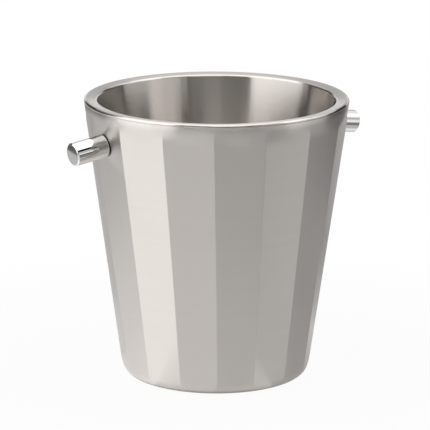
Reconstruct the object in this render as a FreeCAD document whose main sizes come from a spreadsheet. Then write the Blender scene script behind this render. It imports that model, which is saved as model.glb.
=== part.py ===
# Double-walled ice bucket: a faceted outer shell, a drawn inner liner with a rolled rim, a welded
# base plate with a non-slip pad, and two solid knobs screwed on from inside the wall.
# Millimetres, +Z up. The origin is on the floor at the centre of the bucket; the knobs face -X and +X.
import FreeCAD
import Part
import Sketcher
import math
import os

DRIVING_SIZES = [
    ("rim_radius", 100, "outside radius of the round cone, at the height of the rim"),
    ("foot_radius", 70, "outside radius of the same cone, at the floor"),
    ("overall_height", 214, "floor to the top of the rim"),
    ("facet_count", 16, "flats pressed into the outer shell"),
    ("edge_trim", 0.1, "what the sharp corner between two flats loses, at the rim"),
    ("plain_band", 7, "top of the rim down to the highest point of a flat"),
    ("runout_length", 7, "height over which a flat fades into the plain band"),
    ("runout_rounding", 30, "radius that leads a flat into its run-out"),
    ("foot_rounding", 10, "outside radius between the wall and the foot"),
    ("shell_thickness", 1.0, "sheet of the outer shell"),
    ("liner_thickness", 0.8, "sheet of the liner and its rim"),
    ("rim_rounding", 1.4, "both visible edges of the rolled rim"),
    ("lip_height", 2.4, "top of the rim down to the joint with the shell"),
    ("joint_break", 0.1, "broken edge on each side of that joint"),
    ("liner_corner", 12, "inside radius between the liner's wall and floor"),
    ("floor_gap", 10, "air between the base plate and the liner's floor"),
    ("flange_width", 12, "flat foot that the shell turns in under itself"),
    ("plate_lap", 6, "how far the base plate reaches over that flange"),
    ("plate_thickness", 1.0, "sheet of the base plate"),
    ("pad_proud", 0.6, "how far the pad stands below the steel foot"),
    ("pad_clearance", 0.5, "all round the pad, in the opening of the foot"),
    ("pad_ring_count", 3, "grip grooves under the pad"),
    ("pad_ring_pitch", 11, "from one groove to the next"),
    ("pad_ring_width", 2, "width of a groove"),
    ("pad_ring_depth", 0.5, "depth of a groove"),
    ("knob_clear", 4.7, "top of a knob's base down from where its flat starts to fade"),
    ("knob_offset", 7.5, "knob's axis beside the middle of its flat"),
    ("knob_diameter", 17.4, "solid bar that a knob is turned from"),
    ("knob_length", 27, "base to tip"),
    ("knob_chamfer", 0.8, "tip"),
    ("knob_base_break", 0.2, "base"),
    ("gasket_thickness", 0.8, "ring between a knob and the shell"),
    ("gasket_inset", 0.5, "how far its edge lies inside the knob's edge"),
    ("screw_diameter", 5, "thread of the knob screw"),
    ("thread_clearance", 0.1, "between the screw and the knob's tapped hole, all round"),
    ("hole_clearance", 0.25, "round the screw in the sheet, plate, washer and gasket"),
    ("screw_reach", 12, "thread in the knob"),
    ("tapped_spare", 2, "tapped hole beyond the end of the screw"),
    ("screw_point", 0.6, "chamfer on the end of the screw"),
    ("head_diameter", 8.5, "low head of the screw"),
    ("head_height", 2.8, "low head of the screw"),
    ("head_break", 0.4, "broken edge of the head"),
    ("socket_across", 3, "hexagon socket, across its flats"),
    ("socket_depth", 1.6, "hexagon socket"),
    ("washer_diameter", 9, "spring washer, outside"),
    ("washer_thickness", 1.2, "spring washer, flattened"),
    ("washer_slit", 1.0, "spring washer, gap between its ends"),
    ("backing_thickness", 1.5, "plate that spreads a knob's load"),
    ("backing_height", 26, "plate, along the wall"),
    ("backing_rounding", 3, "plate, corners"),
    ("backing_clearance", 2.2, "plate to the nearest bend of the shell"),
    ("head_clearance", 1.4, "screw head to the liner"),
]

# Sizes that follow from the driving ones, as expressions on the sheet's aliases.
TAPER = "((Sizes.rim_radius - Sizes.foot_radius) / Sizes.overall_height)"
CONE_STRETCH = f"sqrt(1 + {TAPER} ^ 2)"

# The sheet keeps its girth when it is pressed from round to flat-sided, so the middle of a flat lies
# inside the round cone and the bend between two flats lies outside it.
HALF_FLAT_ANGLE = "(180deg / Sizes.facet_count)"
FLAT_SHARE = f"(pi / (Sizes.facet_count * tan({HALF_FLAT_ANGLE})))"
BEND_SHARE = f"(pi / (Sizes.facet_count * sin({HALF_FLAT_ANGLE})) - Sizes.edge_trim / Sizes.rim_radius)"
FLAT_TILT = f"atan({FLAT_SHARE} * {TAPER})"
FLAT_STRETCH = f"sqrt(1 + ({FLAT_SHARE} * {TAPER}) ^ 2)"

BAND_HEIGHT = "(Sizes.overall_height - Sizes.plain_band)"
RUNOUT_HEIGHT = f"({BAND_HEIGHT} - Sizes.runout_length)"
JOINT_HEIGHT = "(Sizes.overall_height - Sizes.lip_height)"

# From the shell inwards, along a knob's axis: backing plate, spring washer, screw head, clearance, liner.
WALL_STACK = (
    "(Sizes.shell_thickness + Sizes.backing_thickness + Sizes.washer_thickness"
    " + Sizes.head_height + Sizes.head_clearance + Sizes.liner_thickness)"
)
WALL_DEPTH = f"((1 - {FLAT_SHARE}) * Sizes.rim_radius + {WALL_STACK} * {CONE_STRETCH})"

FLANGE_TOP = "(Sizes.pad_proud + Sizes.shell_thickness)"
FOOT_OPENING = "(Sizes.foot_radius - Sizes.foot_rounding - Sizes.flange_width)"
LINER_UNDERSIDE = f"({FLANGE_TOP} + Sizes.plate_thickness + Sizes.floor_gap)"
LINER_FLOOR = f"({LINER_UNDERSIDE} + Sizes.liner_thickness)"

KNOB_HEIGHT = f"({RUNOUT_HEIGHT} - Sizes.knob_clear - Sizes.knob_diameter / 2)"
BACKING_SEAT = "(0 - Sizes.shell_thickness)"
WASHER_SEAT = f"({BACKING_SEAT} - Sizes.backing_thickness)"
HEAD_SEAT = f"({WASHER_SEAT} - Sizes.washer_thickness)"
SCREW_HOLE = "(Sizes.screw_diameter / 2 + Sizes.hole_clearance)"

# How far a cutting outline passes the solid that it cuts.
PAST = 5

doc = FreeCAD.newDocument("IceBucket")
sheet = doc.addObject("Spreadsheet::Sheet", "Sizes")
for row, (alias, size, note) in enumerate(DRIVING_SIZES, start=1):
    sheet.set(f"A{row}", alias)
    sheet.set(f"B{row}", str(size))
    sheet.setAlias(f"B{row}", alias)
    sheet.set(f"C{row}", note)
doc.recompute()


def number(expression):
    result = sheet.evalExpression(str(expression))
    return float(getattr(result, "Value", result))


def cone_radius(height):
    return f"(Sizes.foot_radius + ({height}) * {TAPER})"


def flat_distance(height):
    return f"({FLAT_SHARE} * {cone_radius(height)})"


def liner_radius(height):
    return f"({cone_radius(height)} - {WALL_DEPTH})"


def on_plane(body, sketch, role):
    plane = [feature for feature in body.Origin.OriginFeatures if feature.Role == role][0]
    sketch.AttachmentSupport = [(plane, "")]
    sketch.MapMode = "FlatFace"


def bind(sketch, kind, first, second, name, expression):
    # A distance from one point to another, a radius or an angle, that follows an expression.
    index = sketch.addConstraint(Sketcher.Constraint(kind, *first, *second, number(expression)))
    sketch.renameConstraint(index, name)
    sketch.setExpression(f"Constraints.{name}", str(expression))


def place_point(sketch, geometry, end, name, x, y):
    if x == "0":
        sketch.addConstraint(Sketcher.Constraint("PointOnObject", geometry, end, -2))
    else:
        bind(sketch, "DistanceX", (-1, 1), (geometry, end), f"{name}_x", x)
    if y == "0":
        sketch.addConstraint(Sketcher.Constraint("PointOnObject", geometry, end, -1))
    else:
        bind(sketch, "DistanceY", (-1, 1), (geometry, end), f"{name}_y", y)


def outline(body, name, role, corners):
    # A closed sketch, anticlockwise. A corner is (x, y) or (x, y, rounding), each an expression.
    sketch = body.newObject("Sketcher::SketchObject", name)
    on_plane(body, sketch, role)
    count = len(corners)
    points = [FreeCAD.Vector(number(corner[0]), number(corner[1]), 0) for corner in corners]
    starts = list(points)
    ends = list(points)
    arcs = {}
    for i, corner in enumerate(corners):
        if len(corner) < 3:
            continue
        radius = number(corner[2])
        before = (points[i - 1] - points[i]).normalize()
        after = (points[(i + 1) % count] - points[i]).normalize()
        half = before.getAngle(after) / 2
        reach = radius / math.tan(half)
        ends[i] = points[i] + before * reach
        starts[i] = points[i] + after * reach
        centre = points[i] + (before + after).normalize() * (reach ** 2 + radius ** 2) ** 0.5
        turns_left = (before.cross(after)).z < 0
        first, last = (ends[i], starts[i]) if turns_left else (starts[i], ends[i])
        middle = centre + ((points[i] - centre).normalize() * radius)
        arcs[i] = (Part.Arc(first, middle, last), turns_left)
    lines = []
    for i in range(count):
        lines.append(sketch.addGeometry(Part.LineSegment(starts[i], ends[(i + 1) % count])))
    for i, corner in enumerate(corners):
        line_in = lines[i - 1]
        line_out = lines[i]
        if i in arcs:
            arc_shape, turns_left = arcs[i]
            arc = sketch.addGeometry(arc_shape)
            point = sketch.addGeometry(Part.Point(points[i]), True)
            sketch.addConstraint(Sketcher.Constraint("Tangent", line_in, 2, arc, 1 if turns_left else 2))
            sketch.addConstraint(Sketcher.Constraint("Tangent", line_out, 1, arc, 2 if turns_left else 1))
            sketch.addConstraint(Sketcher.Constraint("PointOnObject", point, 1, line_in))
            sketch.addConstraint(Sketcher.Constraint("PointOnObject", point, 1, line_out))
            bind(sketch, "Radius", (arc,), (), f"round{i}", corner[2])
            place_point(sketch, point, 1, f"corner{i}", corner[0], corner[1])
        else:
            sketch.addConstraint(Sketcher.Constraint("Coincident", line_in, 2, line_out, 1))
            place_point(sketch, line_out, 1, f"corner{i}", corner[0], corner[1])
    return sketch


def circle(body, name, radius):
    sketch = body.newObject("Sketcher::SketchObject", name)
    on_plane(body, sketch, "XY_Plane")
    middle = FreeCAD.Vector(0, 0, 0)
    edge = sketch.addGeometry(Part.Circle(middle, FreeCAD.Vector(0, 0, 1), number(radius)))
    sketch.addConstraint(Sketcher.Constraint("Coincident", edge, 3, -1, 1))
    bind(sketch, "Radius", (edge,), (), "radius", radius)
    return sketch


def new_body(label):
    return doc.addObject("PartDesign::Body", label)


def turned(body, corners):
    # A solid of revolution about the body's own Z axis; x is the radius and y the height.
    sketch = outline(body, f"{body.Label}_profile", "XZ_Plane", corners)
    turn = body.newObject("PartDesign::Revolution", f"{body.Label}_turn")
    turn.Profile = sketch
    turn.ReferenceAxis = (sketch, ["V_Axis"])
    turn.Angle = 360
    return turn


def must_have_cut(feature, before, label):
    # A pocket that points away from the solid removes nothing and shows no error.
    if feature.Shape.Volume > before - 0.01:
        raise RuntimeError(f"{label}: a cut removed nothing")


def cut_through(body, sketch, name):
    before = body.Shape.Volume
    pocket = body.newObject("PartDesign::Pocket", name)
    pocket.Profile = sketch
    pocket.Type = "ThroughAll"
    pocket.SideType = "Symmetric"
    doc.recompute()
    must_have_cut(pocket, before, name)
    return pocket


def faceted_cup(label, bottom, top, inset_round, inset_flat, rounding):
    # A round cone, closed at the foot, with flats pressed into it. Insets are level distances inwards.
    cup = new_body(label)

    def bend_radius(height):
        return f"({BEND_SHARE} * {cone_radius(height)} - {inset_round})"

    def round_radius(height):
        return f"({cone_radius(height)} - {inset_round})"

    def flat_radius(height):
        return f"({flat_distance(height)} - {inset_flat})"

    turned(cup, [
        ("0", bottom),
        (bend_radius(bottom), bottom, rounding),
        (bend_radius(RUNOUT_HEIGHT), RUNOUT_HEIGHT),
        (round_radius(BAND_HEIGHT), BAND_HEIGHT),
        (round_radius(top), top),
        ("0", top),
    ])
    doc.recompute()

    # The flat leaves its own plane at the run-out height and meets the round band at the band height.
    below = f"(0 - {PAST})"
    above = f"({RUNOUT_HEIGHT} + 2 * Sizes.runout_length)"
    away = f"(Sizes.rim_radius + {2 * PAST})"
    rise = f"2 * ({round_radius(BAND_HEIGHT)} - {flat_radius(RUNOUT_HEIGHT)})"
    region = outline(cup, f"{label}_flat", "XZ_Plane", [
        (flat_radius(below), below),
        (away, below),
        (away, above),
        (f"({flat_radius(RUNOUT_HEIGHT)} + {rise})", above),
        (flat_radius(RUNOUT_HEIGHT), RUNOUT_HEIGHT, "Sizes.runout_rounding"),
    ])
    flat = cut_through(cup, region, f"{label}_first_flat")
    ring = cup.newObject("PartDesign::PolarPattern", f"{label}_flats")
    ring.Originals = [flat]
    ring.Axis = (region, ["V_Axis"])
    ring.Angle = 360
    ring.setExpression("Occurrences", "Sizes.facet_count")
    cup.Tip = ring
    doc.recompute()
    return cup


def seat_on_flat(piece, side, push="0"):
    # Local Z of the piece points out of the flat and its origin is on the flat's outer face. side is -1
    # for the left knob and 1 for the right; the two knobs lie on one line through the bucket's axis.
    # push moves the piece along that local Z.
    tilt = FLAT_TILT
    piece.Placement.Rotation = FreeCAD.Rotation(FreeCAD.Vector(0, 1, 0), 0)
    piece.setExpression("Placement.Rotation.Axis.x", "0")
    piece.setExpression("Placement.Rotation.Axis.y", "1")
    piece.setExpression("Placement.Rotation.Axis.z", "0")
    piece.setExpression("Placement.Rotation.Angle", f"{side} * (90deg + {tilt})")
    piece.setExpression("Placement.Base.x", f"{side} * ({flat_distance(KNOB_HEIGHT)} + {push} * cos({tilt}))")
    piece.setExpression("Placement.Base.y", f"{-side} * Sizes.knob_offset")
    piece.setExpression("Placement.Base.z", f"{KNOB_HEIGHT} - {push} * sin({tilt})")


def make_outer_shell():
    top = JOINT_HEIGHT
    outside = faceted_cup("shell_outside", "Sizes.pad_proud", top, "0", "0", "Sizes.foot_rounding")
    inside = faceted_cup(
        "shell_inside", FLANGE_TOP, f"({top} + {PAST})",
        f"(Sizes.shell_thickness * {CONE_STRETCH})",
        f"(Sizes.shell_thickness * {FLAT_STRETCH})",
        "(Sizes.foot_rounding - Sizes.shell_thickness)",
    )
    sheet_metal = doc.addObject("Part::Cut", "shell_sheet")
    sheet_metal.Base = outside
    sheet_metal.Tool = inside

    opening = doc.addObject("Part::Cylinder", "foot_opening")
    opening.setExpression("Radius", FOOT_OPENING)
    opening.setExpression("Height", f"{FLANGE_TOP} + {PAST}")
    holes = [opening]
    for name, side in (("left", -1), ("right", 1)):
        hole = doc.addObject("Part::Cylinder", f"screw_hole_{name}")
        hole.setExpression("Radius", SCREW_HOLE)
        hole.setExpression("Height", f"Sizes.shell_thickness + 2 * {PAST}")
        seat_on_flat(hole, side, f"(0 - Sizes.shell_thickness - {PAST})")
        holes.append(hole)
    tools = doc.addObject("Part::MultiFuse", "shell_openings")
    tools.Shapes = holes
    shell = doc.addObject("Part::Cut", "outer_shell")
    shell.Base = sheet_metal
    shell.Tool = tools
    return shell


def make_inner_liner():
    # One drawn sheet: floor, wall, rolled rim, and a lip that comes down to meet the shell edge to edge.
    liner = new_body("inner_liner")
    level = f"(Sizes.liner_thickness * {CONE_STRETCH})"
    under_rim = "(Sizes.overall_height - Sizes.liner_thickness)"
    inner_rounding = "(Sizes.rim_rounding - Sizes.liner_thickness)"
    rim = "Sizes.overall_height"
    turned(liner, [
        ("0", LINER_UNDERSIDE),
        (f"({liner_radius(LINER_UNDERSIDE)} + {level})", LINER_UNDERSIDE,
         "(Sizes.liner_corner + Sizes.liner_thickness)"),
        (f"({liner_radius(under_rim)} + {level})", under_rim, inner_rounding),
        (f"({cone_radius(under_rim)} - {level})", under_rim, inner_rounding),
        (f"({cone_radius(JOINT_HEIGHT)} - {level})", JOINT_HEIGHT),
        (f"({cone_radius(JOINT_HEIGHT)} - Sizes.joint_break)", JOINT_HEIGHT),
        (cone_radius(f"({JOINT_HEIGHT} + Sizes.joint_break)"), f"({JOINT_HEIGHT} + Sizes.joint_break)"),
        (cone_radius(rim), rim, "Sizes.rim_rounding"),
        (liner_radius(rim), rim, "Sizes.rim_rounding"),
        (liner_radius(LINER_FLOOR), LINER_FLOOR, "Sizes.liner_corner"),
        ("0", LINER_FLOOR),
    ])
    return liner


def make_base_plate():
    plate = new_body("base_plate")
    radius = f"({FOOT_OPENING} + Sizes.plate_lap)"
    top = f"({FLANGE_TOP} + Sizes.plate_thickness)"
    turned(plate, [("0", FLANGE_TOP), (radius, FLANGE_TOP), (radius, top), ("0", top)])
    return plate


def make_base_pad():
    pad = new_body("base_pad")
    radius = f"({FOOT_OPENING} - Sizes.pad_clearance)"
    corners = [("0", "0")]
    for ring in range(int(number("Sizes.pad_ring_count")), 0, -1):
        outer = f"({radius} - {ring} * Sizes.pad_ring_pitch)"
        inner_edge = f"({outer} - Sizes.pad_ring_width)"
        corners += [
            (inner_edge, "0"),
            (inner_edge, "Sizes.pad_ring_depth"),
            (outer, "Sizes.pad_ring_depth"),
            (outer, "0"),
        ]
    corners += [(radius, "0"), (radius, FLANGE_TOP), ("0", FLANGE_TOP)]
    turned(pad, corners)
    return pad


def screw_end():
    return "(Sizes.gasket_thickness + Sizes.screw_reach)"


def make_knob(name, side):
    knob = new_body(f"knob_{name}")
    base = "Sizes.gasket_thickness"
    tip = f"({base} + Sizes.knob_length)"
    radius = "(Sizes.knob_diameter / 2)"
    bore = "(Sizes.screw_diameter / 2 + Sizes.thread_clearance)"
    bore_end = f"({screw_end()} + Sizes.tapped_spare)"
    turned(knob, [
        (bore, base),
        (f"({radius} - Sizes.knob_base_break)", base),
        (radius, f"({base} + Sizes.knob_base_break)"),
        (radius, f"({tip} - Sizes.knob_chamfer)"),
        (f"({radius} - Sizes.knob_chamfer)", tip),
        ("0", tip),
        ("0", f"({bore_end} + {bore} * tan(30deg))"),
        (bore, bore_end),
    ])
    seat_on_flat(knob, side)
    return knob


def make_gasket(name, side):
    gasket = new_body(f"knob_gasket_{name}")
    radius = "(Sizes.knob_diameter / 2 - Sizes.gasket_inset)"
    top = "Sizes.gasket_thickness"
    turned(gasket, [(SCREW_HOLE, "0"), (radius, "0"), (radius, top), (SCREW_HOLE, top)])
    seat_on_flat(gasket, side)
    return gasket


def make_backing_plate(name, side):
    plate = new_body(f"backing_plate_{name}")
    inner_flat = f"({flat_distance(KNOB_HEIGHT)} - Sizes.shell_thickness * {FLAT_STRETCH})"
    half_width = (
        f"({inner_flat} * tan({HALF_FLAT_ANGLE}) - Sizes.knob_offset - Sizes.backing_clearance)"
    )
    half_height = "(Sizes.backing_height / 2)"
    rounding = "Sizes.backing_rounding"
    shape = outline(plate, f"{plate.Label}_outline", "XY_Plane", [
        (f"(0 - {half_height})", f"(0 - {half_width})", rounding),
        (half_height, f"(0 - {half_width})", rounding),
        (half_height, half_width, rounding),
        (f"(0 - {half_height})", half_width, rounding),
    ])
    pad = plate.newObject("PartDesign::Pad", f"{plate.Label}_pad")
    pad.Profile = shape
    pad.setExpression("Length", "Sizes.backing_thickness")
    doc.recompute()
    cut_through(plate, circle(plate, f"{plate.Label}_hole", SCREW_HOLE), f"{plate.Label}_bore")
    seat_on_flat(plate, side, WASHER_SEAT)
    return plate


def make_spring_washer(name, side):
    washer = new_body(f"spring_washer_{name}")
    radius = "(Sizes.washer_diameter / 2)"
    turned(washer, [
        (SCREW_HOLE, "0"),
        (radius, "0"),
        (radius, "Sizes.washer_thickness"),
        (SCREW_HOLE, "Sizes.washer_thickness"),
    ])
    doc.recompute()
    half_slit = "(Sizes.washer_slit / 2)"
    slit = outline(washer, f"{washer.Label}_slit", "XY_Plane", [
        ("0", f"(0 - {half_slit})"),
        ("Sizes.washer_diameter", f"(0 - {half_slit})"),
        ("Sizes.washer_diameter", half_slit),
        ("0", half_slit),
    ])
    cut_through(washer, slit, f"{washer.Label}_gap")
    seat_on_flat(washer, side, HEAD_SEAT)
    return washer


def make_screw(name, side):
    # Low-head socket screw: its head bears on the spring washer and its thread ends in the knob.
    screw = new_body(f"screw_{name}")
    shank = "(Sizes.screw_diameter / 2)"
    head = "(Sizes.head_diameter / 2)"
    crown = f"({HEAD_SEAT} - Sizes.head_height)"
    end = screw_end()
    turned(screw, [
        ("0", crown),
        (f"({head} - Sizes.head_break)", crown),
        (head, f"({crown} + Sizes.head_break)"),
        (head, HEAD_SEAT),
        (shank, HEAD_SEAT),
        (shank, f"({end} - Sizes.screw_point)"),
        (f"({shank} - Sizes.screw_point)", end),
        ("0", end),
    ])
    doc.recompute()
    reach = "(Sizes.socket_across / 2 / cos(30deg))"
    corners = [(f"({reach} * cos({60 * i + 30}deg))", f"({reach} * sin({60 * i + 30}deg))") for i in range(6)]
    hexagon = outline(screw, f"{screw.Label}_hexagon", "XY_Plane", corners)
    hexagon.setExpression("AttachmentOffset.Base.z", crown)
    doc.recompute()
    before = screw.Shape.Volume
    socket = screw.newObject("PartDesign::Pocket", f"{screw.Label}_socket")
    socket.Profile = hexagon
    socket.Reversed = True
    socket.setExpression("Length", "Sizes.socket_depth")
    doc.recompute()
    must_have_cut(socket, before, screw.Label)
    seat_on_flat(screw, side)
    return screw


def check(subparts):
    doc.recompute()
    for item in doc.Objects:
        if "Invalid" in item.State or "Error" in item.State:
            raise RuntimeError(f"{item.Label}: {item.State}")
    for subpart in subparts:
        if subpart.Shape.isNull() or not subpart.Shape.isValid():
            raise RuntimeError(f"{subpart.Label}: its shape is not valid")
        if len(subpart.Shape.Solids) != 1:
            raise RuntimeError(f"{subpart.Label}: {len(subpart.Shape.Solids)} solids")


subparts = [make_outer_shell(), make_inner_liner(), make_base_plate(), make_base_pad()]
for name, side in (("left", -1), ("right", 1)):
    for make in (make_knob, make_gasket, make_backing_plate, make_spring_washer, make_screw):
        subparts.append(make(name, side))
check(subparts)

os.makedirs("parts", exist_ok=True)
for subpart in subparts:
    subpart.Shape.exportStep(f"parts/{subpart.Label}.step")
    print(f"{subpart.Label}: {subpart.Shape.Volume / 1000:.2f} cm3")
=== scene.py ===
import bmesh
import bpy
import math
from mathutils import Matrix, Vector


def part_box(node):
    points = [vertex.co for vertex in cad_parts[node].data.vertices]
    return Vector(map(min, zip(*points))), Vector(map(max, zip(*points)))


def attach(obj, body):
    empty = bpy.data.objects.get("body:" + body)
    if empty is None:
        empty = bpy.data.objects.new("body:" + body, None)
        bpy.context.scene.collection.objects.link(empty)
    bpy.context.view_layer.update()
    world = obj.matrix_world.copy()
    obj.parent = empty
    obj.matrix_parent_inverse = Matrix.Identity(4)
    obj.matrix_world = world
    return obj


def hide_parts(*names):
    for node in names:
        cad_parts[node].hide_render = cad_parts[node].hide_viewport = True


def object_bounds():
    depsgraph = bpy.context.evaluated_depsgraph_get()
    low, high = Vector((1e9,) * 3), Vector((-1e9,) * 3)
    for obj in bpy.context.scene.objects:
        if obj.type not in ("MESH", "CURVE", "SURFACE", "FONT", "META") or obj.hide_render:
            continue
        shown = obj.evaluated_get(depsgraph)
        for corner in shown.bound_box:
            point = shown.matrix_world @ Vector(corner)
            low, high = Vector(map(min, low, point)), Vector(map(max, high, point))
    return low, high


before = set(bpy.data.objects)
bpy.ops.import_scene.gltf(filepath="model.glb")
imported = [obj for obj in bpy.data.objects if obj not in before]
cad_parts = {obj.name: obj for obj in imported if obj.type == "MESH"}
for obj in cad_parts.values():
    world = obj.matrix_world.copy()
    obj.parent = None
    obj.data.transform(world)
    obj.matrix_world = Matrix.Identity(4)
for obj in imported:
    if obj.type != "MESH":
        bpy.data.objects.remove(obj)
cadLow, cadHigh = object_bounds()
print("frame loaded:", len(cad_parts), "nodes")

# The round cone that the shell is pressed from, in metres.
bucket = {
    "rimRadius": 0.100,
    "footRadius": 0.070,
    "wallDepth": 0.01007,   # level, from the outside of the cone to the inside wall
    "flats": 16,
    "ringPoints": 256,      # points round a turned piece
}
bucket["height"] = cadHigh.z
bucket["taper"] = (bucket["rimRadius"] - bucket["footRadius"]) / bucket["height"]
bucket["lean"] = math.atan(bucket["taper"])
tiny = 1e-7   # anything smaller is rounding


def coneRadius(height, inset=0.0):
    return bucket["footRadius"] + height * bucket["taper"] - inset


class Value:
    # A node's output, so that shader maths is written as arithmetic.
    def __init__(self, paint, socket):
        self.paint = paint
        self.socket = socket

    def output(self, key):
        # Another output of the same node.
        return Value(self.paint, self.socket.node.outputs[key])

    def maths(self, operation, *others):
        return self.paint.node("ShaderNodeMath", {"operation": operation}, self, *others)

    def __add__(self, other):
        return self.maths("ADD", other)

    def __radd__(self, other):
        return self.maths("ADD", other)

    def __sub__(self, other):
        return self.maths("SUBTRACT", other)

    def __rsub__(self, other):
        return self.paint.node("ShaderNodeMath", {"operation": "SUBTRACT"}, other, self)

    def __mul__(self, other):
        return self.maths("MULTIPLY", other)

    def __rmul__(self, other):
        return self.maths("MULTIPLY", other)

    def __pow__(self, other):
        return self.maths("POWER", other)


class Paint:
    # The nodes of one material, or of the world.
    def __init__(self, owner):
        self.owner = owner
        owner.use_nodes = True
        self.tree = owner.node_tree
        self.tree.nodes.clear()

    def node(self, kind, settings, *inputs, **named):
        # Settings are made first. Inputs go in by place or by name.
        made = self.tree.nodes.new(kind)
        for key, setting in settings.items():
            setattr(made, key, setting)
        for index, given in list(enumerate(inputs)) + list(named.items()):
            socket = made.inputs[index if isinstance(index, int) else index.replace("_", " ")]
            if isinstance(given, Value):
                self.tree.links.new(given.socket, socket)
            else:
                socket.default_value = given
        return Value(self, made.outputs[0] if made.outputs else None)

    def place(self):
        # Where a point lies on the object, in metres.
        return self.node("ShaderNodeTexCoord", {}).output("Object")

    def split(self, vector):
        parts = self.node("ShaderNodeSeparateXYZ", {}, vector)
        return [parts.output(axis) for axis in "XYZ"]

    def join(self, x, y, z):
        return self.node("ShaderNodeCombineXYZ", {}, x, y, z)

    def eased(self, value, low, high, *ends):
        # Goes softly from 0 to 1, or from one end to the other, while the value goes from low to high.
        settings = {"interpolation_type": "SMOOTHSTEP"}
        return self.node("ShaderNodeMapRange", settings, value, low, high, *ends)

    def noise(self, vector, scale, detail, rough, turn=None):
        # turn is a fourth coordinate.
        named = {"Vector": vector, "Scale": scale, "Detail": detail, "Roughness": rough}
        if turn is None:
            return self.node("ShaderNodeTexNoise", {"noise_dimensions": "3D"}, **named)
        return self.node("ShaderNodeTexNoise", {"noise_dimensions": "4D"}, W=turn, **named)

    def mixColours(self, share, dark, light):
        dark, light = [end if isinstance(end, Value) else (*end, 1) for end in (dark, light)]
        mixed = self.node("ShaderNodeMix", {"data_type": "RGBA"}, Factor=share, A=dark, B=light)
        return mixed.output("Result")

    def finish(self, colour, roughness, height, look, **fixed):
        # A principled surface with a little relief.
        relief = self.node(
            "ShaderNodeBump", {}, Strength=look["bump"], Distance=look["bumpDepth"], Height=height,
        )
        return self.cover(self.node(
            "ShaderNodeBsdfPrincipled", {}, Base_Color=colour, Roughness=roughness, Normal=relief, **fixed,
        ))

    def cover(self, surface, output="ShaderNodeOutputMaterial"):
        self.node(output, {}, surface)
        return self.owner


noiseMiddle = 0.5   # noise varies about this
satin = {
    "dark": (0.650, 0.613, 0.581),
    "light": (0.700, 0.661, 0.628),
    "lineScale": 3200.0,    # brush lines to the metre, across the brushing
    "bandScale": 260.0,     # soft bands, where the belt pressed harder
    "alongScale": 8.0,      # both change slowly along the brushing
    "lineShare": 0.6,       # how far lines and bands move the colour from dark to light
    "bandShare": 0.6,
    "roughness": 0.355,
    "lineRough": 0.03,
    "bandRough": 0.02,
    "smudgeRough": 0.02,
    "smudgeScale": 14.0,
    "anisotropy": 1.0,
    "brushTurn": 0.25,      # a quarter turn lays the brushing round the bucket
    "bump": 0.05,
    "bumpDepth": 0.00001,
}
# The liner's steel: a darker copy of the shell's, painted shade for the inside of the bucket, and darker
# still towards the bottom of the cup, painted shade deep inside.
satinInsideShaded = {
    **satin,
    "dark": (0.595, 0.560, 0.529),
    "light": (0.640, 0.604, 0.572),
    "innerRoughness": 0.2,  # finer inside and on the rim
    "insideFrom": 0.004,    # depths in from the outer cone
    "insideTo": 0.008,
    "edgeFrom": 0.0027,     # depths down from the top of the rim
    "edgeTo": 0.0022,
    "paintedDeepShade": (0.360, 0.340, 0.322),  # painted shade: the bottom of the cup is painted darker, for the shade deep inside the bucket
    "deepShadeUnder": 0.03,
    "deepShadeUpTo": 0.15,
}


def brushedSteel(name, look, inner):
    # Brushed round the bucket: lines at one height on the wall, and at one radius on the rim.
    paint = Paint(bpy.data.materials.new(name))
    place = paint.place()
    x, y, z = paint.split(place)
    slowX = x * look["alongScale"]
    slowY = y * look["alongScale"]
    radius = (x * x + y * y) ** 0.5
    lineTurn = radius * look["lineScale"] if inner else None
    bandTurn = radius * look["bandScale"] if inner else None
    linePlace = paint.join(slowX, slowY, z * look["lineScale"])
    bandPlace = paint.join(slowX, slowY, z * look["bandScale"])
    lines = paint.noise(linePlace, scale=1.0, detail=3.0, rough=0.6, turn=lineTurn)
    bands = paint.noise(bandPlace, scale=1.0, detail=2.0, rough=0.5, turn=bandTurn)
    smudges = paint.noise(place, look["smudgeScale"], detail=3.0, rough=0.55)
    lineSwing = lines - noiseMiddle
    bandSwing = bands - noiseMiddle
    share = noiseMiddle + look["lineShare"] * lineSwing + look["bandShare"] * bandSwing
    colour = paint.mixColours(share, look["dark"], look["light"])
    roughness = look["roughness"] + look["lineRough"] * lineSwing
    if inner:
        depth = bucket["footRadius"] + z * bucket["taper"] - radius
        inside = paint.eased(depth, look["insideFrom"], look["insideTo"])
        edge = paint.eased(z, bucket["height"] - look["edgeFrom"], bucket["height"] - look["edgeTo"])
        smoother = paint.node("ShaderNodeMath", {"operation": "MAXIMUM"}, inside, edge)
        roughness = roughness + (look["innerRoughness"] - look["roughness"]) * smoother
        # Painted shade: the colour darkens towards the bottom of the cup, for the shade deep inside the
        # bucket.
        unshadedShare = paint.eased(z, look["deepShadeUnder"], look["deepShadeUpTo"])
        colour = paint.mixColours(unshadedShare, look["paintedDeepShade"], colour)
    roughness = roughness + look["bandRough"] * bandSwing + look["smudgeRough"] * (smudges - noiseMiddle)
    return paint.finish(
        colour, roughness, lines, look,
        Metallic=1.0, Anisotropic=look["anisotropy"], Anisotropic_Rotation=look["brushTurn"],
    )


polish = {
    "dark": (0.72, 0.71, 0.70),
    "light": (0.78, 0.77, 0.76),
    "roughness": 0.02,
    "hazeRough": 0.025,
    "hazeScale": 60.0,
    "turnScale": 1800.0,    # turning lines to the metre, along the bar
    "hazeShare": 0.5,       # how far haze and lines move the colour from dark to light
    "lineShare": 0.5,
    "bump": 0.03,
    "bumpDepth": 0.00001,
}


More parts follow.
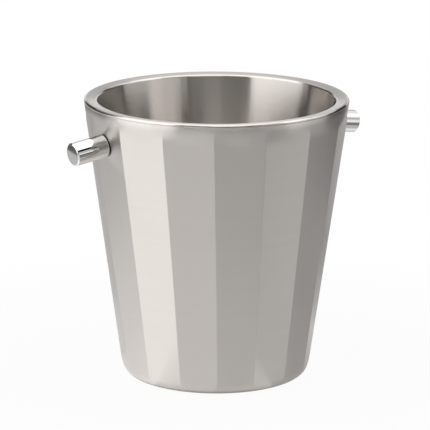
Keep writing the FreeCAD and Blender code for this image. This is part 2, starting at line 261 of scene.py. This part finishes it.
def polishedSteel(name, look, axis):
    # Turned bar, polished: a faint haze, and lines round the bar.
    paint = Paint(bpy.data.materials.new(name))
    place = paint.place()
    along = paint.node("ShaderNodeVectorMath", {"operation": "DOT_PRODUCT"}, place, tuple(axis))
    turning = paint.join(along.output("Value") * look["turnScale"], 0.0, 0.0)
    haze = paint.noise(place, look["hazeScale"], detail=3.0, rough=0.6)
    lines = paint.noise(turning, scale=1.0, detail=2.0, rough=0.5)
    share = look["hazeShare"] * haze + look["lineShare"] * lines
    colour = paint.mixColours(share, look["dark"], look["light"])
    roughness = look["roughness"] + look["hazeRough"] * haze
    return paint.finish(colour, roughness, lines, look, Metallic=1.0)


mottle = {"grainScale": 12, "coarseShare": 0.6, "fineShare": 0.4, "bump": 0.2}
plainMetal = {
    **mottle,
    "dark": (0.36, 0.355, 0.345),
    "light": (0.44, 0.435, 0.425),
    "roughness": 0.34,
    "spread": 0.16,
    "scale": 90.0,
    "metallic": 1.0,
    "bumpDepth": 0.00001,
}
sealRubber = {
    **mottle,
    "dark": (0.012, 0.012, 0.012),
    "light": (0.03, 0.03, 0.03),
    "roughness": 0.55,
    "spread": 0.2,
    "scale": 400.0,
    "metallic": 0.0,
    "bumpDepth": 0.00003,
}
padSilicone = {
    **sealRubber,
    "dark": (0.045, 0.046, 0.048),
    "light": (0.075, 0.076, 0.078),
    "roughness": 0.6,
    "scale": 300.0,
}


def mottled(name, look):
    # Mill-finish sheet, rubber or silicone: a fine mottle in colour, roughness and height.
    paint = Paint(bpy.data.materials.new(name))
    place = paint.place()
    coarse = paint.noise(place, look["scale"], detail=5.0, rough=0.65)
    fine = paint.noise(place, look["scale"] * look["grainScale"], detail=2.0, rough=0.6)
    share = look["coarseShare"] * coarse + look["fineShare"] * fine
    colour = paint.mixColours(share, look["dark"], look["light"])
    roughness = look["roughness"] + look["spread"] * (coarse - noiseMiddle)
    return paint.finish(colour, roughness, fine, look, Metallic=look["metallic"])


def roundedOutline(corners, arcPoints):
    # Corners are (radius, height) or (radius, height, rounding); each rounding becomes an arc.
    outline = []
    count = len(corners)
    for i, corner in enumerate(corners):
        here = Vector(corner[:2])
        if len(corner) < 3:
            outline.append(here)
            continue
        before = (Vector(corners[i - 1][:2]) - here).normalized()
        after = (Vector(corners[(i + 1) % count][:2]) - here).normalized()
        half = before.angle(after) / 2
        reach = corner[2] / math.tan(half)
        centre = here + (before + after).normalized() * (corner[2] / math.sin(half))
        first = here + before * reach - centre
        last = here + after * reach - centre
        turn = first.angle_signed(last)
        for step in range(arcPoints + 1):
            outline.append(centre + Matrix.Rotation(-turn * step / arcPoints, 2) @ first)
    return outline


def meshPiece(name, points, faces, material, slot, *nodes):
    mesh = bpy.data.meshes.new(name)
    mesh.from_pydata(points, [], faces)
    mesh.materials.append(material)
    work = bmesh.new()
    work.from_mesh(mesh)
    bmesh.ops.recalc_face_normals(work, faces=work.faces)
    work.to_mesh(mesh)
    work.free()
    for polygon in mesh.polygons:
        polygon.use_smooth = True
    piece = bpy.data.objects.new(name, mesh)
    bpy.context.collection.objects.link(piece)
    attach(piece, "root")
    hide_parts(*nodes)


def turnedMesh(outline, ringPoints, place=Matrix.Identity(4)):
    # Turns a closed outline about Z and puts it in its place. Points on the axis become one point.
    points = []
    rings = []
    for radius, height in outline:
        if radius < tiny:
            rings.append([len(points)])
            points.append(place @ Vector((0, 0, height)))
            continue
        rings.append(list(range(len(points), len(points) + ringPoints)))
        for step in range(ringPoints):
            angle = 2 * math.pi * step / ringPoints
            points.append(place @ Vector((radius * math.cos(angle), radius * math.sin(angle), height)))
    return points, ringFaces(rings)


def ringFaces(rings):
    faces = []
    for lower, upper in zip(rings, rings[1:] + rings[:1]):
        if len(lower) == 1 and len(upper) == 1:
            continue
        count = max(len(lower), len(upper))
        for step in range(count):
            after = (step + 1) % count
            if len(lower) == 1:
                faces.append((lower[0], upper[after], upper[step]))
            elif len(upper) == 1:
                faces.append((lower[step], lower[after], upper[0]))
            else:
                faces.append((lower[step], lower[after], upper[after], upper[step]))
    return faces


shell = {
    "thickness": 0.001,
    "footRounding": 0.010,
    "flangeWidth": 0.012,
    "flangeEdge": 0.0003,
    "bendRadius": 0.0015,         # where two flats meet
    "twist": math.radians(2.5),   # the flats lean a little round the bucket from foot to band
    "plainBand": 0.0075,          # stays round, under the rim
    "runout": 0.011,              # the height over which the flats fade in below it
    "footFade": (0.003, 0.0135),  # and the heights between which they fade out at the foot
    "jointBreak": 0.0001,
    "guard": 0.0005,              # points this near each bend keep the flats flat in reflections
    "bendSteps": 4,
    "flatSteps": 6,
    "bandRows": 10,
    "wallRows": 6,
    "arcPoints": 12,
}
shellLow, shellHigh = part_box("outer_shell")
shell["jointHeight"] = shellHigh.z
shell["footHeight"] = shellLow.z
shell["opening"] = bucket["footRadius"] - shell["footRounding"] - shell["flangeWidth"]


def flatAngles():
    # Angles round the shell, close together over each bend and wide apart on the flats, each with the
    # share of the round radius that the pressed sheet has there. The girth stays as it was.
    half = math.pi / bucket["flats"]
    flatShare = half / math.tan(half)
    middle = (coneRadius(0) + coneRadius(bucket["height"])) / 2
    bend = shell["bendRadius"] / middle
    edgeAngle = math.atan((flatShare - bend) * math.tan(half) / flatShare)
    guardAngle = edgeAngle - shell["guard"] / middle
    toBend = half - edgeAngle
    flatSteps = shell["flatSteps"]
    bendSteps = shell["bendSteps"]
    offsets = [guardAngle * (2 * step / flatSteps - 1) for step in range(flatSteps + 1)]
    offsets += [edgeAngle + 2 * toBend * step / bendSteps for step in range(bendSteps + 1)]
    centre = (flatShare - bend) / math.cos(half)
    angles = []
    for flat in range(bucket["flats"]):
        for offset in offsets:
            within = offset if offset <= half else offset - 2 * half
            fromBend = half - abs(within)
            if abs(within) <= edgeAngle + tiny:
                share = flatShare / math.cos(within)
            else:
                across = centre * math.sin(fromBend)
                share = centre * math.cos(fromBend) + math.sqrt(bend ** 2 - across ** 2)
            angles.append((2 * half * flat + offset, share))
    return angles


def smooth(low, high, number):
    # Goes softly from 0 to 1 while the number goes from low to high.
    share = min(max((number - low) / (high - low), 0), 1)
    return share * share * (3 - 2 * share)


def pressed(height):
    # How far the sheet is pressed flat at this height: not at all at the band or round the foot.
    top = bucket["height"] - shell["plainBand"]
    return smooth(top, top - shell["runout"], height) * smooth(*shell["footFade"], height)


def makeShell(material):
    level = shell["thickness"] / math.cos(bucket["lean"])
    foot = shell["footHeight"]
    inside = foot + shell["thickness"]
    top = shell["jointHeight"]
    bandTop = bucket["height"] - shell["plainBand"]
    bandRows = shell["bandRows"]
    wallRows = shell["wallRows"]
    rows = [bandTop - shell["runout"] * step / bandRows for step in range(bandRows + 1)]
    wallTop = rows[-1]
    wallFoot = shell["footFade"][1]
    rows += [wallTop + (wallFoot - wallTop) * step / wallRows for step in range(1, wallRows + 1)]
    outerWall = [(coneRadius(row), row) for row in rows]
    innerWall = [(coneRadius(row, level), row) for row in reversed(rows)]
    outline = roundedOutline([
        (coneRadius(top, shell["jointBreak"]), top),
        (coneRadius(top - shell["jointBreak"]), top - shell["jointBreak"]),
        *outerWall,
        (coneRadius(foot), foot, shell["footRounding"]),
        (shell["opening"], foot, shell["flangeEdge"]),
        (shell["opening"], inside, shell["flangeEdge"]),
        (coneRadius(inside, level), inside, shell["footRounding"] - shell["thickness"]),
        *innerWall,
        (coneRadius(top, level), top),
    ], shell["arcPoints"])
    points = []
    rings = []
    angles = flatAngles()
    for radius, height in outline:
        rings.append(list(range(len(points), len(points) + len(angles))))
        amount = pressed(height)
        turn = shell["twist"] * (0.5 - height / bucket["height"])
        for angle, share in angles:
            reach = radius * (1 + amount * (share - 1))
            points.append((reach * math.cos(angle + turn), reach * math.sin(angle + turn), height))
    meshPiece("outerShell", points, ringFaces(rings), material, "satin_shell", "outer_shell")


liner = {
    "thickness": 0.0008,
    "rimRounding": 0.0019,
    "innerRounding": 0.0018,
    "rimFall": 0.0013,   # the rim's inner edge below its outer one
    "rimPeak": 0.00027,  # what the rounding takes off the height of the sharp corner
    "corner": 0.012,
    "arcPoints": 12,
}
linerLow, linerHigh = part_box("inner_liner")


def makeLiner(material):
    sheet = liner["thickness"]
    level = sheet / math.cos(bucket["lean"])
    depth = bucket["wallDepth"]
    floor = linerLow.z
    rim = linerHigh.z + liner["rimPeak"]
    joint = shell["jointHeight"]
    notch = shell["jointBreak"]
    rimInside = rim - liner["rimFall"]
    underRim = rim - sheet
    underInside = rimInside - sheet
    outline = roundedOutline([
        (0, floor),
        (coneRadius(floor, depth) + level, floor, liner["corner"] + sheet),
        (coneRadius(underInside, depth) + level, underInside, liner["innerRounding"] - sheet),
        (coneRadius(underRim, level), underRim, liner["rimRounding"] - sheet),
        (coneRadius(joint, level), joint),
        (coneRadius(joint, notch), joint),
        (coneRadius(joint + notch), joint + notch),
        (coneRadius(rim), rim, liner["rimRounding"]),
        (coneRadius(rimInside, depth), rimInside, liner["innerRounding"]),
        (coneRadius(floor + sheet, depth), floor + sheet, liner["corner"]),
        (0, floor + sheet),
    ], liner["arcPoints"])
    points, faces = turnedMesh(outline, bucket["ringPoints"])
    meshPiece("innerLiner", points, faces, material, "satin_liner", "inner_liner")


plate = {"edge": 0.0003, "arcPoints": 3}


def makeBasePlate(material):
    low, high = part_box("base_plate")
    edge = plate["edge"]
    corners = [(0, low.z), (high.x, low.z, edge), (high.x, high.z, edge), (0, high.z)]
    points, faces = turnedMesh(roundedOutline(corners, plate["arcPoints"]), bucket["ringPoints"])
    meshPiece("basePlate", points, faces, material, "plain_steel", "base_plate")


pad = {"rings": 3, "pitch": 0.011, "width": 0.002, "depth": 0.0005, "edge": 0.0003, "arcPoints": 3}


def makeBasePad(material):
    low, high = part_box("base_pad")
    edge = pad["edge"]
    corners = [(0, low.z)]
    for ring in range(pad["rings"], 0, -1):
        outer = high.x - ring * pad["pitch"]
        inner = outer - pad["width"]
        corners += [
            (inner, low.z, edge / 2),
            (inner, low.z + pad["depth"], edge / 2),
            (outer, low.z + pad["depth"], edge / 2),
            (outer, low.z, edge / 2),
        ]
    corners += [(high.x, low.z, edge), (high.x, high.z), (0, high.z)]
    points, faces = turnedMesh(roundedOutline(corners, pad["arcPoints"]), bucket["ringPoints"])
    meshPiece("basePad", points, faces, material, "pad_silicone", "base_pad")


knob = {
    "gasket": 0.0008,
    "gasketInset": 0.0005,
    "tipChamfer": 0.0008,
    "baseBreak": 0.0002,
    "edge": 0.00018,
    "guard": 0.0006,  # rings this near the edges keep the end flat and the side straight in reflections
    "boreDepth": 0.014,
    "boreRadius": 0.0026,
    "holeRadius": 0.00275,
    "ringPoints": 96,
    "arcPoints": 4,
}


def knobSeat(node, side):
    # Where a knob's axis leaves the gasket, with local Z along the axis, from the knob's own box.
    low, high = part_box(node)
    half = math.pi / bucket["flats"]
    tilt = math.atan(half / math.tan(half) * bucket["taper"])
    radius = (high.y - low.y) / 2
    length = (high.x - low.x - 2 * radius * math.sin(tilt)) / math.cos(tilt)
    out = Vector((side * math.cos(tilt), 0, -math.sin(tilt)))
    base = (low + high) / 2 - out * length / 2
    turn = Matrix.Rotation(side * (math.pi / 2 + tilt), 4, "Y")
    return Matrix.Translation(base) @ turn, out, radius, length


def makeKnob(name, side, rubber):
    node = f"knob_{name}"
    seat, out, radius, length = knobSeat(node, side)
    edge = knob["edge"]
    chamfer = knob["tipChamfer"]
    guard = knob["guard"]
    outline = roundedOutline([
        (knob["boreRadius"], 0),
        (radius - knob["baseBreak"], 0),
        (radius, knob["baseBreak"]),
        (radius, knob["baseBreak"] + guard),
        (radius, length - chamfer - guard),
        (radius, length - chamfer, edge),
        (radius - chamfer, length, edge),
        (radius - chamfer - guard, length),
        (0, length),
        (0, knob["boreDepth"] + knob["boreRadius"] / 2),
        (knob["boreRadius"], knob["boreDepth"]),
    ], knob["arcPoints"])
    points, faces = turnedMesh(outline, knob["ringPoints"], seat)
    steel = polishedSteel(f"polishedKnob_{name}", polish, out)
    meshPiece(f"knob_{name}_turned", points, faces, steel, "polished_knob", node)
    rim = radius - knob["gasketInset"]
    hole = knob["holeRadius"]
    thick = knob["gasket"]
    ring = [(hole, -thick), (rim, -thick), (rim, 0), (hole, 0)]
    points, faces = turnedMesh(ring, knob["ringPoints"], seat)
    meshPiece(f"knob_{name}_gasket", points, faces, rubber, "seal_rubber", f"knob_gasket_{name}")


shellSteel = brushedSteel("satinShell", satin, False)
linerSteel = brushedSteel("satinLinerShaded", satinInsideShaded, True)
sheetSteel = mottled("millFinishSheet", plainMetal)
rubber = mottled("sealRubber", sealRubber)
silicone = mottled("padSilicone", padSilicone)
print("finishes made")

makeShell(shellSteel)
makeLiner(linerSteel)
makeBasePlate(sheetSteel)
makeBasePad(silicone)
for name, side in (("left", -1), ("right", 1)):
    makeKnob(name, side, rubber)
print("pieces made")

for node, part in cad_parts.items():
    if node.startswith(("backing_plate", "spring_washer", "screw")):
        part.data.materials.clear()
        part.data.materials.append(sheetSteel)
print("hidden fittings finished")

studio = {
    "white": (1, 1, 1, 1),
    "floorSize": 12.0,
    "floorColour": (0.86, 0.86, 0.86, 1),
    "seenWhite": 0.95,     # the share of the floor close by that the camera sees as plain white
    "shadowFrom": 0.12,    # it sees all of it as white where the shadow has faded
    "shadowTo": 0.45,
    "mirrorWhite": 0.25,   # the share of the floor that reflections see as plain white
    "worldDim": 0.1,       # what the white surroundings add to the light
}
view = {
    "azimuth": -33.8,      # degrees round the bucket, from the front
    "distance": 2.5,
    "rise": 14.16,         # degrees above the bucket's middle
    "pitch": 13.81,
    "yaw": -0.02,
    "roll": 0.25,
    "lens": 275.7,
    "reach": 50,
}


def fromCamera(azimuth, distance, height):
    # A place at an azimuth counted from the camera's, positive to the camera's right.
    angle = math.radians(view["azimuth"] + azimuth)
    return Vector((math.sin(angle) * distance, -math.cos(angle) * distance, height))


def makeCamera():
    data = bpy.data.cameras.new("camera")
    data.lens = view["lens"]
    data.clip_end = view["reach"]
    camera = bpy.data.objects.new("camera", data)
    rise = math.radians(view["rise"])
    height = bucket["height"] / 2 + view["distance"] * math.sin(rise)
    camera.location = fromCamera(0, view["distance"] * math.cos(rise), height)
    heading = Matrix.Rotation(math.radians(view["azimuth"] - view["yaw"]), 4, "Z")
    tilt = Matrix.Rotation(math.radians(90 - view["pitch"]), 4, "X")
    roll = Matrix.Rotation(math.radians(view["roll"]), 4, "Z")
    camera.rotation_euler = (heading @ tilt @ roll).to_euler()
    bpy.context.collection.objects.link(camera)
    bpy.context.scene.camera = camera


def strip(name, corners, material):
    # A stage piece through pairs of corners.
    mesh = bpy.data.meshes.new(name)
    faces = [(i, i + 1, i + 3, i + 2) for i in range(0, len(corners) - 2, 2)]
    mesh.from_pydata(corners, [], faces)
    mesh.materials.append(material)
    made = bpy.data.objects.new(name, mesh)
    bpy.context.collection.objects.link(made)
    return made


def makeFloor():
    # White to the camera but for the shadow. Reflections show it mostly as the lamps light it.
    paint = Paint(bpy.data.materials.new("paleFloor"))
    path = paint.node("ShaderNodeLightPath", {})
    camera = path.output("Is Camera Ray")
    mirrored = path.output("Is Glossy Ray") + path.output("Is Transmission Ray")
    away = paint.node("ShaderNodeVectorMath", {"operation": "LENGTH"}, paint.place()).output("Value")
    seen = paint.eased(away, studio["shadowFrom"], studio["shadowTo"], studio["seenWhite"], 1.0)
    share = camera * seen + mirrored * studio["mirrorWhite"]
    diffuse = paint.node("ShaderNodeBsdfDiffuse", {}, studio["floorColour"])
    glow = paint.node("ShaderNodeEmission", {}, studio["white"], 1.0)
    mixed = paint.node("ShaderNodeMixShader", {}, share, diffuse, glow)
    half = studio["floorSize"] / 2
    corners = [(-half, -half, 0), (half, -half, 0), (-half, half, 0), (half, half, 0)]
    strip("floor", corners, paint.cover(mixed))


# Softboxes stand upright round the bucket, from low to high. Cards that only the metal sees stand
# behind them, and floor cards lie just above the floor, from inner to outer. Azimuths are counted from
# the camera's. A level is how bright a face looks, where 1 is white, and a softbox's level is added to
# what is behind it.
softboxes = {
    "keyEdge": {"from": -110, "to": -95, "low": 0.02, "high": 0.2, "level": 0.6},
    "key": {"from": -95, "to": -54, "low": 0.02, "high": 0.2, "level": 0.6},
    "keyMid": {"from": -96, "to": -36, "low": 0.2, "high": 0.45, "level": 0.9},
    "keyHigh": {"from": -92, "to": -40, "low": 0.45, "high": 0.85, "level": 0.5},
    "keyTop": {"from": -104, "to": -36, "low": 0.85, "high": 1.4, "level": 1.15},
    "side": {"from": -27, "to": -8, "low": 0.02, "high": 0.2, "level": 0.6},
    "fillTop": {"from": 64, "to": 126, "low": 0.85, "high": 1.4, "level": 0.8},
}
overhead = {"height": 1.4, "width": 2.2, "level": 0.7}
cards = {
    "frontLeftLow": {"from": -54, "to": -35, "low": 0.0, "high": 0.2, "level": 0.02},
    "frontLow": {"from": -6, "to": 12, "low": 0.0, "high": 0.2, "level": 0.02},
    "frontRightLow": {"from": 12, "to": 62, "low": 0.0, "high": 0.2, "level": 0.05},
    "rightLow": {"from": 62, "to": 80, "low": 0.0, "high": 0.2, "level": 1.15},
    "rightBackLow": {"from": 80, "to": 164, "low": 0.0, "high": 0.2, "level": 0.15},
    "leftBackLow": {"from": -136, "to": -115, "low": 0.0, "high": 0.2, "level": 0.6},
    "frontMid": {"from": -35, "to": 30, "low": 0.2, "high": 0.45, "level": 0.3},
    "rightBackMid": {"from": 106, "to": 146, "low": 0.2, "high": 0.45, "level": 0.02},
    "leftBackMid": {"from": -156, "to": -104, "low": 0.2, "high": 0.45, "level": 0.02},
    "frontHigh": {"from": -35, "to": 38, "low": 0.45, "high": 0.85, "level": 0.02},
    "rightHigh": {"from": 38, "to": 104, "low": 0.45, "high": 0.85, "level": 0.6},
    "rightBackHigh": {"from": 104, "to": 155, "low": 0.45, "high": 0.85, "level": 0.02},
    "backHigh": {"from": 155, "to": 204, "low": 0.45, "high": 0.85, "level": 0.55},
    "leftBackHigh": {"from": -156, "to": -96, "low": 0.45, "high": 0.85, "level": 0.02},
    "frontTop": {"from": -34, "to": -5, "low": 0.85, "high": 1.5, "level": 0.1},
    "frontRightTop": {"from": 28, "to": 64, "low": 0.85, "high": 1.5, "level": 0.02},
    "leftBackTop": {"from": -150, "to": -112, "low": 0.85, "high": 1.5, "level": 0.25},
}
floorCards = {
    "backFloor": {"from": 150, "to": 220, "inner": 0.069, "outer": 0.95, "level": 0.7},
    "leftBackFloor": {"from": -140, "to": -108, "inner": 0.069, "outer": 0.95, "level": 0.9},
    "leftFloor": {"from": -108, "to": -88, "inner": 0.069, "outer": 0.95, "level": 1.1},
    "keyFloor": {"from": -88, "to": -42, "inner": 0.069, "outer": 0.95, "level": 1.2},
    "frontLeftFloor": {"from": -42, "to": 0, "inner": 0.069, "outer": 0.95, "level": 0.9},
    "frontFloor": {"from": 0, "to": 40, "inner": 0.069, "outer": 0.36, "level": 0.8},
    "frontFloorFar": {"from": 0, "to": 40, "inner": 0.36, "outer": 0.95, "level": 0.5},
    "frontRightFloor": {"from": 40, "to": 62, "inner": 0.069, "outer": 0.36, "level": 0.55},
    "rightFloor": {"from": 62, "to": 110, "inner": 0.069, "outer": 0.36, "level": 0.6},
    "rightBackFloor": {"from": 110, "to": 150, "inner": 0.069, "outer": 0.36, "level": 0.65},
    "rightFloorFar": {"from": 40, "to": 150, "inner": 0.36, "outer": 0.95, "level": 0.25},
    # These lie over the others, for the polished knobs: one sees them along its side, one in its end.
    "knobSideFloor": {"from": 109, "to": 136, "inner": 0.14, "outer": 0.3, "level": 1.0, "height": 0.003},
    "knobEndFloor": {"from": -111, "to": -105, "inner": 0.5, "outer": 0.64, "level": 0.6, "height": 0.003},
    "knobEdgeFloor": {
        "from": -111, "to": -106, "inner": 0.614, "innerTo": 0.522, "outer": 0.64,
        "level": 0.12, "height": 0.004,
    },
}
stand = {
    "boxes": 1.2,           # how far off the softboxes and the cards stand
    "cards": 1.3,
    "step": 5,              # degrees between a card's corners
    "floorHeight": 0.002,
}


def addLamp(name, place, target, width, tall, level):
    data = bpy.data.lights.new(name, "AREA")
    data.shape = "RECTANGLE"
    data.size = width
    data.size_y = tall
    data.energy = level * math.pi * width * tall
    lamp = bpy.data.objects.new(name, data)
    lamp.location = place
    lamp.rotation_euler = (target - place).to_track_quat("-Z", "Y").to_euler()
    lamp.visible_camera = False
    bpy.context.collection.objects.link(lamp)


def makeLamps():
    for name, box in softboxes.items():
        middle = (box["low"] + box["high"]) / 2
        place = fromCamera((box["from"] + box["to"]) / 2, stand["boxes"], middle)
        width = 2 * stand["boxes"] * math.tan(math.radians(box["to"] - box["from"]) / 2)
        addLamp(name, place, Vector((0, 0, middle)), width, box["high"] - box["low"], box["level"])
    above = Vector((0, 0, overhead["height"]))
    addLamp("overhead", above, Vector((0, 0, 0)), overhead["width"], overhead["width"], overhead["level"])


def addCard(name, card, edgesAt):
    # edgesAt gives the card's two edges, each as a distance and a height, at a share of its way round.
    paint = Paint(bpy.data.materials.new(f"card_{name}"))
    glow = paint.node("ShaderNodeEmission", {}, studio["white"], card["level"])
    span = card["to"] - card["from"]
    steps = math.ceil(span / stand["step"])
    corners = []
    for step in range(steps + 1):
        azimuth = card["from"] + span * step / steps
        corners += [fromCamera(azimuth, *edge) for edge in edgesAt(card, step / steps)]
    made = strip(f"card_{name}", corners, paint.cover(glow))
    made.visible_camera = False
    made.visible_diffuse = False
    made.visible_shadow = False


def standing(card, share):
    return (stand["cards"], card["low"]), (stand["cards"], card["high"])


def lying(card, share):
    height = card.get("height", stand["floorHeight"])
    inner = card["inner"] + (card.get("innerTo", card["inner"]) - card["inner"]) * share
    return (inner, height), (card["outer"], height)


def makeCards():
    for name, card in cards.items():
        addCard(name, card, standing)
    for name, card in floorCards.items():
        addCard(name, card, lying)


def makeWorld():
    # White all round, dimmer as a light than as a background.
    world = bpy.data.worlds.new("studio")
    paint = Paint(world)
    diffuse = paint.node("ShaderNodeLightPath", {}).output("Is Diffuse Ray")
    level = 1.0 + (studio["worldDim"] - 1.0) * diffuse
    backdrop = paint.node("ShaderNodeBackground", {}, studio["white"], level)
    paint.cover(backdrop, "ShaderNodeOutputWorld")
    bpy.context.scene.world = world


makeCamera()
makeFloor()
makeWorld()
makeLamps()
makeCards()
bpy.context.scene.view_settings.view_transform = "Standard"
print("studio made")
